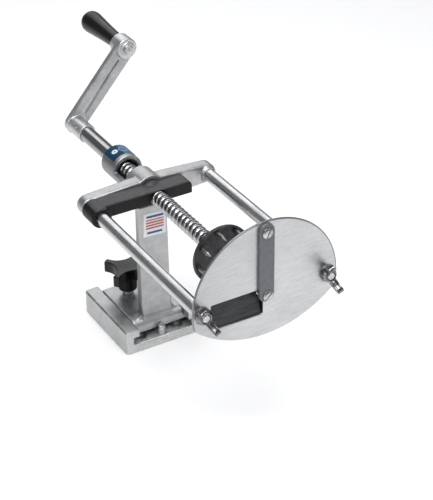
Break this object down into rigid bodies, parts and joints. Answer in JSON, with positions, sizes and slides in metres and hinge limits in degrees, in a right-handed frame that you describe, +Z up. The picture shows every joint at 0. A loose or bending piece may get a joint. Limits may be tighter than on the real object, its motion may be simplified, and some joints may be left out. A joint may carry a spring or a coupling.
{
  "type": "vegetable dicer",
  "caption": "Hand-cranked spiral vegetable cutter: slide-in counter base, casting with two guide rods, feed screw and pronged pusher, and a bladed face plate.",
  "frame": {"origin": "centre of the mounting base's underside", "axes": "+Z up, -Y out of the face plate's front, +Y towards the crank, X across the two guide rods"},
  "size_m": [0.1418, 0.4549, 0.2408],
  "materials": {
    "base_casting": "satin",
    "grey_enamel": "satin",
    "plated_rod": "gloss",
    "zinc_steel": "satin",
    "dark_bush": "satin",
    "blue_label": "satin",
    "white_label": "satin",
    "black_lever": "satin",
    "screw_steel": "satin",
    "disc_plate": "satin",
    "bright_steel": "gloss",
    "crank_plate": "satin",
    "black_plastic": "satin",
    "plate_steel": "satin",
    "comb_grey": "satin",
    "blade_steel": "satin",
    "nut_chrome": "polished"
  },
  "bodies": {
    "base": {"mounting_base": "base_casting", "stop_pin": "zinc_steel"},
    "frame": {"frame_casting": "grey_enamel", "guide_rod_left": "plated_rod", "guide_rod_right": "plated_rod", "rod_set_screws": "zinc_steel", "front_bush": "dark_bush", "bush_ring": "zinc_steel", "collar_label": "blue_label", "post_label": "white_label"},
    "bush": {"turning_bush": "dark_bush"},
    "drive": {"feed_screw": "screw_steel", "pusher_disc": "disc_plate", "pusher_prongs": "bright_steel", "pusher_screw": "bright_steel", "crank_arm": "crank_plate", "crank_pin": "bright_steel", "grip_spindle": "zinc_steel", "grip_ring": "zinc_steel"},
    "grip": {"crank_grip": "black_plastic"},
    "lever": {"half_nut_lever": "black_lever"},
    "plate": {"face_plate": "plate_steel", "comb_bar": "comb_grey", "scoring_blades": "bright_steel", "comb_screws": "bright_steel", "comb_nut": "bright_steel", "core_tube": "bright_steel", "slicing_blade": "blade_steel"},
    "wing_left": {"wing_nut_left": "nut_chrome"},
    "wing_right": {"wing_nut_right": "nut_chrome"},
    "pad": {"clamp_pad": "zinc_steel"},
    "clamp": {"clamp_screw": "zinc_steel", "clamp_knob": "black_plastic"}
  },
  "joints": [
    {"name": "frame_slide", "type": "slide", "parent": "base", "child": "frame", "axis": [0, 1, 0], "range_m": [0, 0.1]},
    {"name": "crank_turn", "type": "hinge", "parent": "frame", "child": "bush", "pos_m": [0, 0.03, 0.1613], "axis": [0, -1, 0], "range_deg": [-5100, 2375]},
    {"name": "screw_feed", "type": "slide", "parent": "bush", "child": "drive", "axis": [0, -1, 0], "range_m": [-0.0901, 0.042]},
    {"name": "grip_spin", "type": "hinge", "parent": "drive", "child": "grip", "pos_m": [0.05949, 0.145, 0.2295], "axis": [0, 1, 0], "continuous": true},
    {"name": "lever_lift", "type": "hinge", "parent": "frame", "child": "lever", "pos_m": [-0.061, -0.035, 0.1613], "axis": [0, -1, 0], "range_deg": [0, 35]},
    {"name": "plate_slide", "type": "slide", "parent": "frame", "child": "plate", "axis": [0, -1, 0], "range_m": [0, 0.006]},
    {"name": "wing_left_turn", "type": "hinge", "parent": "plate", "child": "wing_left", "pos_m": [-0.061, -0.23, 0.1613], "axis": [0, -1, 0], "range_deg": [0, 1531]},
    {"name": "wing_right_turn", "type": "hinge", "parent": "plate", "child": "wing_right", "pos_m": [0.061, -0.23, 0.1613], "axis": [0, -1, 0], "range_deg": [0, 1531]},
    {"name": "clamp_lift", "type": "slide", "parent": "frame", "child": "pad", "axis": [0, 0, 1], "range_m": [0, 0.003]},
    {"name": "clamp_turn", "type": "hinge", "parent": "pad", "child": "clamp", "pos_m": [-0.007, 0.017, 0.03], "axis": [0, 0, 1], "range_deg": [0, 681]}
  ],
  "couplings": [
    {"joint": "screw_feed", "follows": "crank_turn", "m_per_rad": 0.0010106},
    {"joint": "wing_left_turn", "follows": "plate_slide", "rad_per_m": 4452.7},
    {"joint": "wing_right_turn", "follows": "plate_slide", "rad_per_m": 4452.7},
    {"joint": "clamp_turn", "follows": "clamp_lift", "rad_per_m": 3957.9}
  ]
}
